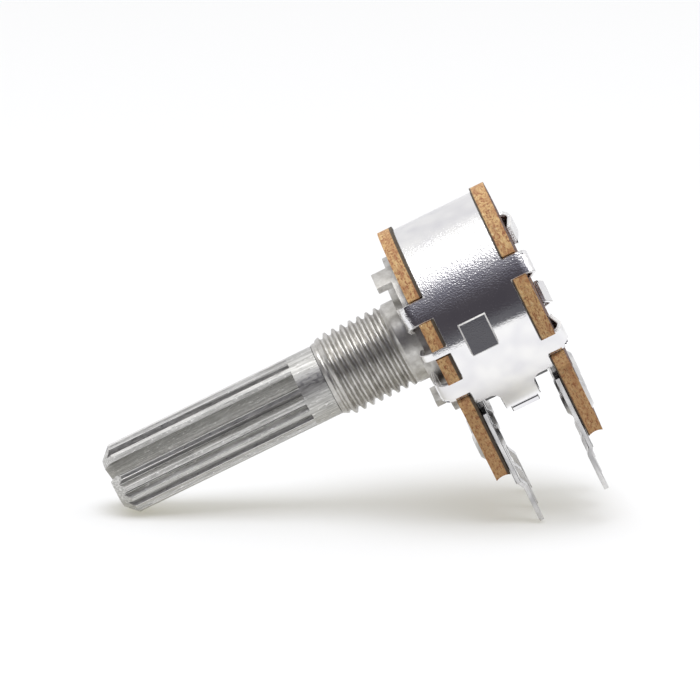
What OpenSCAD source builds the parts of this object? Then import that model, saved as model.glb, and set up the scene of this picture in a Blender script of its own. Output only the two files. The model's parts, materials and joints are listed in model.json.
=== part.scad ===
// Dual-gang rotary potentiometer with a threaded bush and a split, knurled shaft.
// Origin: centre of the mounting face, on the shaft axis. +Z runs to the knob end
// of the shaft, and the six terminals point to -Y. All lengths are in millimetres.

/* [Shaft] */
// Diameter of the knob end
shaft_d = 6; // [5.6:0.1:6.6]
// Distance from the mounting face to the shaft tip
shaft_reach = 26.8; // [20:0.1:40]
// Plain stretch between the bush and the knurl
plain_len = 2.2; // [1:0.1:4]
// Number of knurl teeth
knurl_teeth = 18; // [14:1:24]
// Share of a tooth pitch that a knurl groove takes at the surface
groove_share = 0.69; // [0.4:0.01:0.7]
// Depth of a knurl groove
groove_depth = 0.46; // [0.3:0.02:0.6]
// Width of the slot that splits the knob end
slot_w = 1.2; // [0.8:0.1:1.6]
// Angle of the slot from +X with the shaft at mid travel
slot_angle = 37; // [0:1:180]
// Length and depth of the bevel at the shaft tip
tip_bevel = 0.95; // [0.5:0.05:1.2]
// Depth of each step, from the journal in the bush to the drive stretch behind it
drive_step = 0.5; // [0.4:0.05:0.6]
// Depth of each driving flat
drive_flat = 0.5; // [0.3:0.05:0.6]

/* [Bush and flange] */
// Outside diameter of the thread
thread_d = 7; // [6.8:0.1:7.6]
// Length of the bush in front of the mounting face
bush_len = 7.6; // [5:0.1:11]
// Length of the bevel at the mouth of the bush
mouth_bevel_len = 1; // [0.5:0.1:1.4]
// Depth of the bevel at the mouth of the bush
mouth_bevel_depth = 0.45; // [0.2:0.05:0.5]
// Wall of the bush between its bore and the thread crests
bush_wall = 0.95; // [0.8:0.05:1.1]
// Pitch of the thread
thread_pitch = 0.75; // [0.5:0.05:1]
// Depth of the thread
thread_depth = 0.4; // [0.2:0.02:0.5]
// Length of the plain neck between the mounting face and the thread
neck_len = 1.4; // [0.8:0.1:2]
// Diameter of the raised boss, whose front is the mounting face
boss_d = 9.2; // [8.9:0.1:10]
// Height of the boss in front of the flange
boss_h = 0.65; // [0.5:0.05:1]
// Inset of the flange from the outside of the can
flange_inset = 1.7; // [1.4:0.1:2]
// Thickness of the flange at its rim
flange_t = 0.55; // [0.45:0.05:1]
// Thickness of the wall between the mounting face and the stop recess
recess_wall = 0.45; // [0.35:0.05:0.5]
// Wall of the boss round the stop recess in its back
boss_wall = 0.5; // [0.4:0.05:0.6]
// Angle of the stop rib in the recess
rib_angle = 38; // [30:1:44]

/* [Locating lugs] */
// Width of a locating lug
key_w = 2; // [1.4:0.1:2.6]
// Thickness of a locating lug
key_t = 0.65; // [0.5:0.05:1]
// Reach of a locating lug in front of the mounting face
key_reach = 0.65; // [0.3:0.05:1.5]
// Angle of the first locating lug from +X
key_angle = 67; // [50:1:75]

/* [Stop washer] */
// Width of the stop washer outside the journal
washer_lip = 0.7; // [0.5:0.05:0.8]
// Room behind the stop washer in its recess
washer_room = 0.2; // [0.15:0.05:0.3]
// Angle of the ear of the stop washer
ear_angle = 20; // [14:1:22]

/* [Boards] */
// Thickness of a board
board_t = 1.25; // [1:0.05:1.6]
// How far the round of a board stands out of the can
board_proud = 0.3; // [0.1:0.05:0.6]
// Board left beside an outer terminal
tongue_side = 0.3; // [0.2:0.05:0.5]
// Length of the tongue outside the can
tongue_out = 3.6; // [3:0.1:4.4]
// Room round the drive stretch in the front board
hole_clear = 0.4; // [0.3:0.05:0.5]

/* [Printed tracks] */
// Thickness of a printed layer
print_t = 0.04; // [0.02:0.01:0.06]
// Distance of the carbon track from the rim of its rotor
track_edge = 0.2; // [0.15:0.05:0.4]
// Width of the carbon track
track_w = 1.4; // [1:0.1:1.5]
// Angle that the carbon track covers
track_angle = 300; // [280:2:304]
// Distance of the silver ring from the hole in the front board
ring_edge = 0.6; // [0.5:0.05:0.7]
// Width of the silver ring
ring_w = 1; // [0.6:0.1:1.2]

/* [Can] */
// Outside diameter of the can
can_d = 17; // [16.8:0.1:17.2]
// Thickness of the tinned sheet
can_t = 0.35; // [0.25:0.05:0.45]
// Length of the can between the boards
can_len = 6.95; // [6.2:0.05:12]
// Room beside the outer terminals in the opening over them
opening_clear = 0.2; // [0.1:0.02:0.4]
// Width of the strap that crosses the opening
strap_w = 3.05; // [2:0.05:3.4]
// Corner radius of the opening
opening_corner_r = 0.7; // [0.3:0.1:0.8]
// Width of the hooked seam in the strap
seam_w = 2.4; // [1.6:0.1:2.6]
// Height of the hooked seam outside the can
seam_h = 0.65; // [0.6:0.05:1]
// Width of a folded lug
lug_w = 1.9; // [1.6:0.1:2.2]
// Width of the narrow lug on the front rim
tab_w = 0.65; // [0.5:0.05:1]
// Angle of the folded lugs above and below the X axis
lug_angle = 25; // [20:0.5:28]
// Length of flange that a folded lug holds down
lug_grip = 0.6; // [0.4:0.1:1]
// Outer radius of the bend of a folded lug
fold_bend_r = 1; // [0.8:0.05:1.1]
// Rise of the front folds ahead of the flange
front_fold_rise = 0.5; // [0.4:0.05:0.9]
// Rise of the rear folds behind the rear board
rear_fold_rise = 0.8; // [0.6:0.05:0.9]
// Height of the pressed pad
pad_h = 2.75; // [2:0.05:3.2]
// Width of the pressed pad along the can
pad_w = 2.3; // [1.6:0.1:2.6]
// Distance of the pressed pad from the front edge of the can
pad_edge = 1.55; // [1.2:0.05:2]
// Height of the pressed pad over the can at its middle
pad_rise = 0.14; // [0.1:0.02:0.24]
// Tilt of the pressed pad, with its lower edge outwards
pad_tilt = 5; // [0:1:7]

/* [Terminals] */
// Distance between neighbouring terminals
terminal_pitch = 5; // [4.8:0.1:5.1]
// Thickness of the terminal sheet
terminal_t = 0.4; // [0.3:0.05:0.45]
// Width of a terminal on its board
terminal_w = 2.4; // [2:0.1:2.8]
// Width of a terminal pin
pin_w = 1.2; // [0.8:0.1:1.5]
// Length of a pin below its shoulder
pin_len = 3.85; // [2.5:0.05:6]
// Distance of the shoulder from the end of the tongue
shoulder_out = 1.05; // [0.6:0.05:1.6]
// Step that carries the pins away from the board
pin_step = 0.35; // [0.2:0.05:0.6]
// Length over which a pin makes that step, from its shoulder
joggle_len = 0.7; // [0.5:0.05:1.2]
// Distance of the rivets from the outside of the can
rivet_out = 0.7; // [0.5:0.05:1]
// Diameter of a rivet head
rivet_head_d = 2.6; // [2.2:0.1:2.8]
// Diameter of a rivet shank
rivet_shank_d = 1.5; // [1.2:0.1:1.7]

/* [Rotors and wipers] */
// Room round a rotor disc in the can
rotor_clear = 0.95; // [0.6:0.05:1.1]
// Thickness of a rotor disc
rotor_t = 1.2; // [0.8:0.1:1.6]
// Diameter of a rotor hub
hub_d = 6.6; // [5.8:0.1:7.4]
// Gap between a board and the rotor disc, which the wiper crosses
wiper_gap = 0.72; // [0.66:0.02:0.9]
// Thickness of the wiper spring
wiper_t = 0.12; // [0.1:0.02:0.16]
// Width of the wiper
wiper_w = 2; // [1.4:0.1:2.2]
// Share of the way between ring and track that the staked part of a wiper takes
wiper_base_share = 0.536; // [0.5:0.002:0.6]

/* [Hidden] */
$fn = 96;

// Radial gap between a turning piece and its bearing
run_gap = 0.05;
// Axial gap between a turning piece and a fixed one
end_gap = 0.05;
// Gap round a piece that is pushed on or folded over
seat_gap = 0.02;
// Overlap of a cutting shape past the face it cuts
cut = 0.1;

// Levels along the axis, from the shaft tip to the rear board
collar_z = bush_len + end_gap;
knurl_z = collar_z + plain_len;
flange_front_z = -boss_h;
flange_back_z = flange_front_z - flange_t;
washer_z = -recess_wall - end_gap;
front_face_z = flange_back_z - board_t;
rear_face_z = front_face_z - can_len;
mid_z = (front_face_z + rear_face_z) / 2;
rear_back_z = rear_face_z - board_t;
tail_z = rear_back_z + 0.3;
drive_end_z = rear_face_z + end_gap;

// Shaft and bush
shaft_r = shaft_d / 2;
groove_w = groove_share * PI * shaft_d / knurl_teeth;
thread_r = thread_d / 2;
bush_bore_r = thread_r - bush_wall;
journal_r = bush_bore_r - run_gap;
drive_d = 2 * (journal_r - drive_step);
drive_flat_w = drive_d - 2 * drive_flat;
tail_d = drive_flat_w - 0.6;
tail_bore_r = tail_d / 2 + run_gap;
thread_turns = round((bush_len - mouth_bevel_len - neck_len) / thread_pitch);
recess_d = boss_d - 2 * boss_wall;
washer_d = 2 * (journal_r + washer_lip);
washer_t = boss_h + flange_t - recess_wall - end_gap - washer_room;

// Can, flange, boards and rotors
can_r = can_d / 2;
can_bore_r = can_r - can_t;
flange_d = can_d - 2 * flange_inset;
board_d = can_d + 2 * board_proud;
board_r = board_d / 2;
front_hole_d = drive_d + 2 * hole_clear;
tongue_w = 2 * terminal_pitch + terminal_w + 2 * tongue_side;
tongue_reach = can_r + tongue_out;
opening_half_w = terminal_pitch + terminal_w / 2 + opening_clear;
rotor_d = 2 * (can_bore_r - rotor_clear);
ring_r = front_hole_d / 2 + ring_edge + ring_w / 2;
track_r = rotor_d / 2 - track_edge - track_w / 2;
stake_r = (ring_r + track_r) / 2;
wiper_base = wiper_base_share * (track_r - ring_r);
stake_d = wiper_base * 0.533;

// Terminals on one board, from -X to +X
terminal_xs = [-terminal_pitch, 0, terminal_pitch];
rivet_reach = can_r + rivet_out;
terminal_top = rivet_reach - 2.5;
shoulder_reach = tongue_reach + shoulder_out;
pin_reach = shoulder_reach + pin_len;
pin_taper = 0.5;
rivet_head_t = 0.28;
eyelet_d = 0.7;

// Folded lugs, each as its angle and width, and the notches round them in the boards
lug_end_r = flange_d / 2 - lug_grip;
rear_lugs = [for (a = [-lug_angle, lug_angle, 180 - lug_angle, 180 + lug_angle]) [a, lug_w]];
front_lugs = concat(rear_lugs, [[0, tab_w]]);
notch_clear = 0.1;
notch_r = can_bore_r - notch_clear;
// Half of the slit between the two ends of the strap
seam_gap = 0.04;

// A ring sector between two radii, centred on the angle mid, in the XY plane
module ring_sector(r_in, r_out, mid, span, h) {
    rotate([0, 0, mid - span / 2])
        rotate_extrude(angle = span)
            translate([r_in, 0]) square([r_out - r_in, h]);
}

// Shaft stretch with two flats, or the hole that it drives
module drive_form(gap, h) {
    intersection() {
        cylinder(d = drive_d + 2 * gap, h = h);
        translate([-drive_d, -drive_flat_w / 2 - gap, 0])
            cube([2 * drive_d, drive_flat_w + 2 * gap, h]);
    }
}

// Cross section of the split knurl. A tooth crest lies on the slot, so each groove is
// half a pitch off it.
module knurl_section() {
    half = groove_w / 2;
    flare = half * (1 + cut / groove_depth);
    rotate(slot_angle) difference() {
        circle(d = shaft_d);
        for (i = [0 : knurl_teeth - 1]) rotate((i + 0.5) * 360 / knurl_teeth)
            polygon([[shaft_r - groove_depth, 0], [shaft_r + cut, -flare],
                     [shaft_r + cut, flare]]);
        square([3 * shaft_d, slot_w], center = true);
    }
}

module shaft() {
    color("silver") union() {
        // Knob end with its bevelled tip, plain collar, and journal inside the bush
        difference() {
            rotate_extrude() polygon([
                [0, washer_z], [journal_r, washer_z], [journal_r, collar_z],
                [shaft_r, collar_z], [shaft_r, shaft_reach - tip_bevel],
                [shaft_r - tip_bevel, shaft_reach], [0, shaft_reach]]);
            translate([0, 0, knurl_z]) linear_extrude(shaft_reach) difference() {
                circle(d = 2 * shaft_d);
                knurl_section();
            }
        }
        translate([0, 0, drive_end_z]) drive_form(0, washer_z - drive_end_z);
        translate([0, 0, tail_z]) cylinder(d = tail_d, h = drive_end_z - tail_z);
    }
}

// Upright key on the rim of the flange, which stops the body turning in its panel
module locating_lug() {
    intersection() {
        translate([flange_d / 2 - key_t, -key_w / 2, flange_back_z])
            cube([2 * key_t, key_w, key_reach - flange_back_z]);
        translate([0, 0, flange_back_z])
            cylinder(d = flange_d, h = key_reach - flange_back_z);
    }
}

// Half section of the thread, drawn as a V groove for each turn. scene.py gives it its helix.
function thread_grooves() = [
    for (i = [0 : thread_turns - 1], part = [[1 / 8, 0], [9 / 16, thread_depth], [1, 0]])
        [thread_r - part[1], bush_len - mouth_bevel_len - (i + part[0]) * thread_pitch]];

module bush() {
    color("gainsboro") union() {
        rotate_extrude() polygon(concat(
            [[bush_bore_r, bush_len], [thread_r - mouth_bevel_depth, bush_len],
             [thread_r, bush_len - mouth_bevel_len]],
            thread_grooves(),
            [[thread_r, 0], [boss_d / 2, 0], [boss_d / 2, flange_front_z],
             [flange_d / 2, flange_front_z], [flange_d / 2, flange_back_z],
             [recess_d / 2, flange_back_z], [recess_d / 2, -recess_wall],
             [bush_bore_r, -recess_wall]]));
        for (turn = [0, 180]) rotate([0, 0, key_angle + turn]) locating_lug();
        // Rib that the ear of the stop washer meets at both ends of its travel
        translate([0, 0, flange_back_z])
            ring_sector(washer_d / 2 + run_gap, (recess_d + boss_d) / 4, -90, rib_angle,
                        boss_h + flange_t - recess_wall / 2);
    }
}

module stop_washer() {
    color("darkgray") translate([0, 0, washer_z - washer_t]) difference() {
        union() {
            cylinder(d = washer_d, h = washer_t);
            ring_sector(journal_r, recess_d / 2 - run_gap, 90, ear_angle, washer_t);
        }
        translate([0, 0, -cut]) drive_form(seat_gap, washer_t + 2 * cut);
    }
}

// The pieces of one gang are drawn with the inner face of their board at z = 0 and
// the inside of the can above it. The front gang is this one mirrored.
module rear_gang() {
    translate([0, 0, rear_face_z]) children();
}

module front_gang() {
    translate([0, 0, front_face_z]) mirror([0, 0, 1]) children();
}

// Board of phenolic paper: a round with a tongue for the terminals, notched for the lugs
module board(centre_hole_d, lugs) {
    color("peru") difference() {
        translate([0, 0, -board_t]) linear_extrude(board_t) difference() {
            union() {
                circle(d = board_d);
                translate([-tongue_w / 2, -tongue_reach]) square([tongue_w, tongue_reach]);
            }
            for (lug = lugs) rotate(lug[0])
                translate([notch_r, -lug[1] / 2 - notch_clear])
                    square([board_r, lug[1] + 2 * notch_clear]);
            for (x = terminal_xs) translate([x, -rivet_reach]) circle(d = rivet_shank_d);
            circle(d = centre_hole_d);
        }
        // Hollow left along the end of the tongue where the board was snapped off
        translate([-tongue_w, -tongue_reach - board_t * 0.9, -board_t / 2])
            rotate([0, 90, 0]) cylinder(r = board_t * 1.05, h = 2 * tongue_w, $fn = 48);
    }
}

module carbon_track() {
    color("dimgray") ring_sector(track_r - track_w / 2, track_r + track_w / 2, 90,
                                 track_angle, print_t);
}

// Silver print: the ring with its lead to the middle terminal, and a pad from each
// end of the track to its outer terminal
module silver_print() {
    lead_w = 1.1;
    pad_w = 1.6;
    end_angle = (360 - track_angle) / 2;
    color("lightgray") linear_extrude(print_t) {
        difference() {
            union() {
                circle(r = ring_r + ring_w / 2);
                translate([-lead_w / 2, -rivet_reach]) square([lead_w, rivet_reach - ring_r]);
                translate([0, -rivet_reach]) circle(d = rivet_head_d);
            }
            circle(r = ring_r - ring_w / 2);
            translate([0, -rivet_reach]) circle(d = rivet_shank_d);
        }
        for (side = [-1, 1]) {
            end_x = track_r * sin(end_angle);
            end_y = -track_r * cos(end_angle);
            difference() {
                polygon([
                    [side * (end_x - pad_w / 2), end_y - seat_gap],
                    [side * (end_x + pad_w / 3), end_y - pad_w / 2],
                    [side * (terminal_pitch + pad_w / 2), -rivet_reach - rivet_head_d / 2],
                    [side * (terminal_pitch - pad_w / 2), -rivet_reach - rivet_head_d / 2],
                    [side * (end_x - pad_w / 2), end_y - pad_w / 2]]);
                circle(r = track_r + track_w / 2 + seat_gap);
                translate([side * terminal_pitch, -rivet_reach]) circle(d = rivet_shank_d);
            }
        }
    }
}

// Terminal sheet on the inner face of a board, stepped away from it where the pin begins
module terminal(index) {
    side_path = [[-terminal_top, 0], [-shoulder_reach, 0],
                 [-shoulder_reach - joggle_len, pin_step], [-pin_reach, pin_step]];
    back = [for (i = [len(side_path) - 1 : -1 : 0]) side_path[i] + [0, terminal_t]];
    color("whitesmoke") translate([terminal_xs[index], 0, print_t]) difference() {
        intersection() {
            rotate([90, 0, 90]) translate([0, 0, -terminal_w / 2])
                linear_extrude(terminal_w) polygon(concat(side_path, back));
            translate([0, 0, -cut]) linear_extrude(pin_step + terminal_t + 2 * cut) polygon([
                [-terminal_w / 2, -terminal_top], [-terminal_w / 2, -shoulder_reach],
                [-pin_w / 2, -shoulder_reach], [-pin_w / 2, -pin_reach + pin_taper],
                [-pin_w / 4, -pin_reach], [pin_w / 4, -pin_reach],
                [pin_w / 2, -pin_reach + pin_taper], [pin_w / 2, -shoulder_reach],
                [terminal_w / 2, -shoulder_reach], [terminal_w / 2, -terminal_top]]);
        }
        translate([0, -rivet_reach, -cut])
            cylinder(d = rivet_shank_d, h = terminal_t + 2 * cut);
    }
}

// Hollow rivets that hold the three terminals of a board
module rivets() {
    head_r = rivet_head_d / 2;
    shank_r = rivet_shank_d / 2;
    low = -board_t;
    high = print_t + terminal_t;
    color("silver") for (x = terminal_xs) translate([x, -rivet_reach, 0])
        rotate_extrude() polygon([
            [eyelet_d / 2, low - rivet_head_t], [head_r * 0.7, low - rivet_head_t],
            [head_r, low], [shank_r, low], [shank_r, high], [head_r * 0.9, high],
            [head_r * 0.6, high + rivet_head_t], [eyelet_d / 2, high + rivet_head_t]]);
}

// Moulded rotor: a disc with a hub that reaches the hub of the other rotor
module rotor() {
    spigot_r = ring_r - ring_w / 2 - 0.3;
    spigot_z = wiper_gap - wiper_t - 0.2;
    rib_w = 0.7;
    rib_h = 0.6;
    rib_in = hub_d / 2 - 0.3;
    back_z = wiper_gap + rotor_t;
    color([0.13, 0.13, 0.14]) difference() {
        union() {
            translate([0, 0, wiper_gap]) cylinder(d = rotor_d, h = rotor_t);
            translate([0, 0, spigot_z]) cylinder(r = spigot_r, h = can_len / 2 - spigot_z);
            translate([0, 0, back_z - cut]) cylinder(d = hub_d, h = can_len / 2 - back_z + cut);
            for (a = [0 : 60 : 300]) rotate([0, 0, a]) translate([rib_in, -rib_w / 2, back_z - cut])
                cube([rotor_d / 2 - rib_in - 0.8, rib_w, rib_h + cut]);
            translate([0, stake_r, wiper_gap - wiper_t - cut])
                cylinder(d = stake_d, h = wiper_t + 2 * cut);
        }
        translate([0, 0, -cut]) drive_form(seat_gap, can_len);
    }
}

// Wiper spring: a strip staked to the rotor, with a bowed finger at each end that
// runs on the ring and on the track
module wiper() {
    touch = print_t + run_gap;
    base = wiper_gap - wiper_t;
    half = wiper_base / 2;
    tip_lift = 0.15;
    tip_inset = 0.1;
    tip_out = track_r + track_w / 2 - tip_inset;
    tip_in = ring_r - ring_w / 2 + tip_inset;
    low = [[tip_in, touch + tip_lift], [ring_r, touch], [stake_r - half, base],
           [stake_r + half, base], [track_r, touch], [tip_out, touch + tip_lift]];
    high = [for (i = [len(low) - 1 : -1 : 0]) low[i] + [0, wiper_t]];
    slit_w = 0.16;
    color("goldenrod") difference() {
        rotate([90, 0, 90]) translate([0, 0, -wiper_w / 2])
            linear_extrude(wiper_w) polygon(concat(low, high));
        // Slits split each end into three fingers
        for (x = [-wiper_w / 6, wiper_w / 6]) translate([x - slit_w / 2, 0, -cut]) {
            translate([0, stake_r + half, 0]) cube([slit_w, tip_out, wiper_gap + 2 * cut]);
            cube([slit_w, stake_r - half, wiper_gap + 2 * cut]);
        }
        translate([0, stake_r, 0]) cylinder(d = stake_d + 2 * seat_gap, h = wiper_gap + cut);
    }
}

// Half section of the can with both rims folded inwards all round. x is the radius.
// Each fold rests on a face and rises over it where it bends.
module folded_section() {
    front_top = flange_front_z + front_fold_rise;
    rear_top = rear_back_z - rear_fold_rise;
    bend_r = can_r - fold_bend_r;
    inner_r = fold_bend_r - can_t;
    polygon(concat(
        [for (a = [0 : 15 : 90]) [bend_r + fold_bend_r * cos(a),
                                  front_top - fold_bend_r + fold_bend_r * sin(a)]],
        [[lug_end_r, flange_front_z + can_t + seat_gap], [lug_end_r, flange_front_z + seat_gap]],
        [for (a = [90 : -15 : 0]) [bend_r + inner_r * cos(a),
                                   front_top - fold_bend_r + inner_r * sin(a)]],
        [for (a = [0 : 15 : 90]) [bend_r + inner_r * cos(a),
                                  rear_top + fold_bend_r - inner_r * sin(a)]],
        [[lug_end_r, rear_back_z - seat_gap], [lug_end_r, rear_back_z - can_t - seat_gap]],
        [for (a = [90 : -15 : 0]) [bend_r + fold_bend_r * cos(a),
                                   rear_top + fold_bend_r - fold_bend_r * sin(a)]]));
}

// What is trimmed off a folded rim, so that only the lugs are left of it
module rim_waste(low, h, lugs) {
    difference() {
        translate([0, 0, low]) cylinder(r = can_r + 1, h = h);
        for (lug = lugs) rotate([0, 0, lug[0]])
            translate([0, -lug[1] / 2, low - cut]) cube([can_r + 2, lug[1], h + 2 * cut]);
    }
}

// Seam at the middle of the strap: one end stands up and the other hooks over it
module seam() {
    gap = seam_gap;
    low = -can_bore_r - can_t / 2;
    tip = -can_r - seam_h;
    hook = tip + can_t;
    translate([0, 0, mid_z - seam_w / 2]) linear_extrude(seam_w) {
        polygon([[-gap - can_t, low], [-gap - can_t, hook + gap], [-gap, hook + gap], [-gap, low]]);
        polygon([[gap, low], [gap, hook], [-2 * gap - can_t, hook],
                 [-2 * gap - can_t, hook + can_t / 2], [-2 * gap - 2 * can_t, hook + can_t / 2],
                 [-2 * gap - 2 * can_t, tip], [gap + can_t, tip], [gap + can_t, low]]);
    }
}

// What is cut out of the wall on each side of the strap, over the terminals
module opening_waste() {
    opening_h = (can_len - strap_w) / 2;
    r = opening_corner_r;
    translate([0, -can_r * 0.45, strap_w / 2]) rotate([90, 0, 0]) linear_extrude(can_r) {
        translate([-opening_half_w + r, 0]) square([2 * (opening_half_w - r), opening_h + cut]);
        translate([-opening_half_w, r]) square([2 * opening_half_w, opening_h - r + cut]);
        for (side = [-1, 1])
            translate([side * (opening_half_w - r), r]) circle(r = r, $fn = 32);
    }
}

module can() {
    rim_h = 2.5;
    color("lightgray") union() {
        difference() {
            rotate_extrude($fn = 180) folded_section();
            rim_waste(front_face_z, rim_h, front_lugs);
            rim_waste(rear_face_z - rim_h, rim_h, rear_lugs);
            for (turn = [0, 1]) translate([0, 0, mid_z]) mirror([0, 0, turn]) opening_waste();
            // The strap is parted where the hooked seam joins it
            translate([-seam_gap, -can_r - cut, mid_z - strap_w])
                cube([2 * seam_gap, can_t + 2 * cut, 2 * strap_w]);
        }
        // Flat pad pressed outwards in the wall
        pad_t = can_t / 2 + pad_rise;
        translate([can_r + pad_rise, 0, front_face_z - pad_edge - pad_w])
            rotate([0, 0, pad_tilt]) translate([-pad_t, -pad_h / 2, 0]) cube([pad_t, pad_h, pad_w]);
        seam();
    }
}

shaft();
bush();
stop_washer();
front_gang() board(front_hole_d, front_lugs);  // front_board
front_gang() carbon_track();  // front_track
front_gang() silver_print();  // front_conductors
front_gang() rivets();  // front_rivets
front_gang() terminal(0);  // front_terminal_1
front_gang() terminal(1);  // front_terminal_2
front_gang() terminal(2);  // front_terminal_3
front_gang() rotor();  // front_rotor
front_gang() wiper();  // front_wiper
can();
rear_gang() rotor();  // rear_rotor
rear_gang() wiper();  // rear_wiper
rear_gang() board(2 * tail_bore_r, rear_lugs);  // rear_board
rear_gang() carbon_track();  // rear_track
rear_gang() silver_print();  // rear_conductors
rear_gang() rivets();  // rear_rivets
rear_gang() terminal(0);  // rear_terminal_1
rear_gang() terminal(1);  // rear_terminal_2
rear_gang() terminal(2);  // rear_terminal_3
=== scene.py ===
"""Looks of a small dual-gang rotary potentiometer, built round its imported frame.

Lengths in dataclass fields are in millimetres unless they are named _m. Objects are made in metres, in
the frame's own axes: +Z runs along the shaft to its tip, the terminals point to -Y and the photograph
looks along -X.
"""

import json
import logging
import math
from dataclasses import dataclass, field
from enum import Enum
from typing import Any, Iterable, Sequence

import bmesh
import bpy
from mathutils import Matrix, Vector


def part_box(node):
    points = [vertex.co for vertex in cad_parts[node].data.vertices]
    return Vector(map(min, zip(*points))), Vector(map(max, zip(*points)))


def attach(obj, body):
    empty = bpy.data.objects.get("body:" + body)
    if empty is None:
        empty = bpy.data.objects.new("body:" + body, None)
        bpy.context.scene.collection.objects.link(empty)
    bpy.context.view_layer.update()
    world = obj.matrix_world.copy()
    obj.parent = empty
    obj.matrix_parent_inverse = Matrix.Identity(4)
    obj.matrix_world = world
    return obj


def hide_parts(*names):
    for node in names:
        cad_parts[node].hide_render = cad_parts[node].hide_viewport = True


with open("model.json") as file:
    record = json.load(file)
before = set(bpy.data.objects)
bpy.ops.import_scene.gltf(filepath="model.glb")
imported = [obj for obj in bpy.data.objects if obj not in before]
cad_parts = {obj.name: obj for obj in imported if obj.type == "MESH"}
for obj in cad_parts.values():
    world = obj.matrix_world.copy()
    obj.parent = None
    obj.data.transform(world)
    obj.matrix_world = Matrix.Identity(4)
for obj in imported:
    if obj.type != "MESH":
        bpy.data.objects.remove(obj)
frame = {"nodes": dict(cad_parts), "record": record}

LOG = logging.getLogger("potentiometer")
MM = 0.001
PHOTO_SIDE_PX = 700
SENSOR_MM = 36.0
WHITE = (1.0, 1.0, 1.0, 1.0)

FACETS_ROUND = 120  # facets that a full round wall is cut into
LARGEST_SAG = 0.06  # millimetres, the most that a new point of a round wall moves out
EVEN_RADIUS = 0.02  # millimetres, radii closer than this belong to one round wall
ROUND_WALL_COS = math.cos(math.radians(2.2))  # least cosine between a round wall's face and straight out
SMOOTH_BELOW_DEG = 32.0
BREAK_ABOVE_DEG = 35.0
BUSH_MOUTH_Z = 7.7  # millimetres, the height from which the shaft stands clear of the bush

SPLIT_CORNER = 1e-7  # metres, corners closer than this were split by the CAD mesh
ON_PLANE = 2e-7  # metres, points closer than this to a slicing plane lie on it
OFF_PLANE = 4e-7  # metres, points further than this from a slicing plane lie off it
SAME_RADIUS = 2e-6  # metres
THREAD_WELD = 2e-6  # metres
AT_RIM = 1e-6  # metres

Socket = bpy.types.NodeSocket
Node = bpy.types.Node


def linear(hex_colour: str) -> tuple[float, float, float, float]:
    """Turns an sRGB hex colour to linear light.

    Args:
        hex_colour: Six hex digits after a hash sign.

    Returns:
        Red, green, blue and an alpha of 1.
    """
    parts = [int(hex_colour[i : i + 2], 16) / 255 for i in (1, 3, 5)]
    light = [c / 12.92 if c <= 0.04045 else ((c + 0.055) / 1.055) ** 2.4 for c in parts]
    return (light[0], light[1], light[2], 1.0)


def add(tree: bpy.types.NodeTree, kind: str, inputs: dict[Any, Any] | None = None, **settings: Any) -> Node:
    """Adds a node with its settings and links.

    Args:
        tree: The node tree.
        kind: Blender's name for the node type.
        inputs: Input name or number to a value, or to the socket that feeds it.
        **settings: Properties of the node itself.

    Returns:
        The new node.
    """
    node = tree.nodes.new(kind)
    for name, value in settings.items():
        setattr(node, name, value)
    for key, value in (inputs or {}).items():
        if isinstance(value, Socket):
            tree.links.new(value, node.inputs[key])
        else:
            node.inputs[key].default_value = value
    return node


def ramp(tree: bpy.types.NodeTree, fac: Socket, stops: Sequence[tuple[float, str]]) -> Socket:
    """Colours a factor by a ramp.

    Args:
        tree: The node tree.
        fac: The factor, from 0 to 1.
        stops: Positions and their sRGB hex colours.

    Returns:
        The ramp's colour.
    """
    node = add(tree, "ShaderNodeValToRGB", {"Fac": fac})
    elements = node.color_ramp.elements
    while len(elements) < len(stops):
        elements.new(0.5)
    for element, (place, colour) in zip(elements, stops):
        element.position = place
        element.color = linear(colour)
    return node.outputs["Color"]


def pattern_coords(tree: bpy.types.NodeTree, spacing: Sequence[float]) -> Socket:
    """Object coordinates in pattern steps.

    Args:
        tree: The node tree.
        spacing: Size of one step of the pattern along X, Y and Z, in millimetres.

    Returns:
        A vector that grows by one for each step.
    """
    place = add(tree, "ShaderNodeTexCoord").outputs["Object"]
    scale = [1 / (s * MM) for s in spacing]
    return add(tree, "ShaderNodeMapping", {"Vector": place, "Scale": scale}).outputs["Vector"]


def noise(tree: bpy.types.NodeTree, spacing: Sequence[float], detail: float = 2.0,
          rough: float = 0.5) -> Socket:
    """Noise whose blotches have a real size.

    Args:
        tree: The node tree.
        spacing: Blotch size along X, Y and Z, in millimetres.
        detail: Octaves of finer noise.
        rough: Share that each finer octave keeps.

    Returns:
        The noise's value.
    """
    inputs = {"Vector": pattern_coords(tree, spacing), "Scale": 1.0, "Detail": detail, "Roughness": rough}
    return add(tree, "ShaderNodeTexNoise", inputs).outputs["Fac"]


def spread(tree: bpy.types.NodeTree, value: Socket, low: float, high: float, to_low: float = 0.0,
           to_high: float = 1.0) -> Socket:
    """Maps a value from one range to another, clamped.

    Args:
        tree: The node tree.
        value: The value.
        low: Start of its range.
        high: End of its range.
        to_low: What low becomes.
        to_high: What high becomes.

    Returns:
        The mapped value.
    """
    inputs = {"Value": value, "From Min": low, "From Max": high, "To Min": to_low, "To Max": to_high}
    return add(tree, "ShaderNodeMapRange", inputs, clamp=True).outputs["Result"]


def bumped(tree: bpy.types.NodeTree, height: Socket, depth_mm: float, strength: Any = 1.0) -> Socket:
    """Turns a height into a bumped normal.

    Args:
        tree: The node tree.
        height: The height, from 0 to 1.
        depth_mm: What a height of 1 stands for, in millimetres.
        strength: Share of the bump that shows, or its socket.

    Returns:
        The normal.
    """
    inputs = {"Strength": strength, "Distance": depth_mm * MM, "Height": height}
    return add(tree, "ShaderNodeBump", inputs).outputs["Normal"]


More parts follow.
